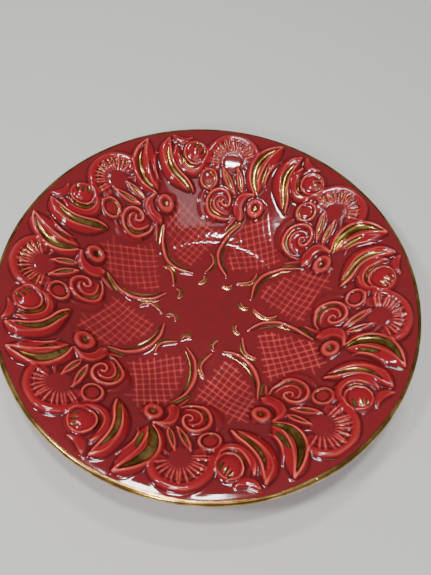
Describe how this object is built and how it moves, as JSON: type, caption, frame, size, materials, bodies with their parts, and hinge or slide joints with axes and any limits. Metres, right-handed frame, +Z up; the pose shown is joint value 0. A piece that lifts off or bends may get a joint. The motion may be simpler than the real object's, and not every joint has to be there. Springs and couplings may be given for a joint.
{
  "type": "decorative ceramic plate",
  "caption": "Round ceramic plate with a deep flat-floored well, a wide border of moulded relief under a glossy red glaze, a gilded rim and a foot ring to stand on.",
  "frame": {"origin": "centre of the circle that the foot ring stands on", "axes": "+Z up along the plate's own axis, out of the well; +X to the right and -Y towards the viewer"},
  "size_m": [0.3, 0.3, 0.0509],
  "materials": {
    "ground_glaze": "glossy deep red glaze",
    "relief_glaze": "glossy red glaze breaking to coral on the ridges, with fired gold in the hollows",
    "well_glaze": "glossy red glaze with raised coral lattice lines",
    "gold_lustre": "fired gold lustre, slightly worn"
  },
  "bodies": {
    "root": {"plate_body": "ground_glaze", "rim_gilding": "gold_lustre", "acanthus_leaf_1": "relief_glaze", "acanthus_leaf_2": "relief_glaze", "acanthus_leaf_3": "relief_glaze", "acanthus_leaf_4": "relief_glaze", "acanthus_leaf_5": "relief_glaze", "acanthus_leaf_6": "relief_glaze", "acanthus_leaf_7": "relief_glaze", "acanthus_leaf_8": "relief_glaze", "scroll_leaf_1": "relief_glaze", "scroll_leaf_2": "relief_glaze", "scroll_leaf_3": "relief_glaze", "scroll_leaf_4": "relief_glaze", "scroll_leaf_5": "relief_glaze", "scroll_leaf_6": "relief_glaze", "scroll_leaf_7": "relief_glaze", "scroll_leaf_8": "relief_glaze", "bud_1": "relief_glaze", "bud_2": "relief_glaze", "bud_3": "relief_glaze", "bud_4": "relief_glaze", "bud_5": "relief_glaze", "bud_6": "relief_glaze", "bud_7": "relief_glaze", "bud_8": "relief_glaze", "shell_1": "relief_glaze", "shell_2": "relief_glaze", "shell_3": "relief_glaze", "shell_4": "relief_glaze", "shell_5": "relief_glaze", "shell_6": "relief_glaze", "shell_7": "relief_glaze", "shell_8": "relief_glaze", "volute_1": "relief_glaze", "volute_2": "relief_glaze", "volute_3": "relief_glaze", "volute_4": "relief_glaze", "volute_5": "relief_glaze", "volute_6": "relief_glaze", "volute_7": "relief_glaze", "volute_8": "relief_glaze", "eye_1": "relief_glaze", "eye_2": "relief_glaze", "eye_3": "relief_glaze", "eye_4": "relief_glaze", "eye_5": "relief_glaze", "eye_6": "relief_glaze", "eye_7": "relief_glaze", "eye_8": "relief_glaze", "petal_1": "well_glaze", "petal_2": "well_glaze", "petal_3": "well_glaze", "petal_4": "well_glaze", "petal_5": "well_glaze", "petal_6": "well_glaze", "petal_7": "well_glaze", "petal_8": "well_glaze"}
  },
  "joints": []
}
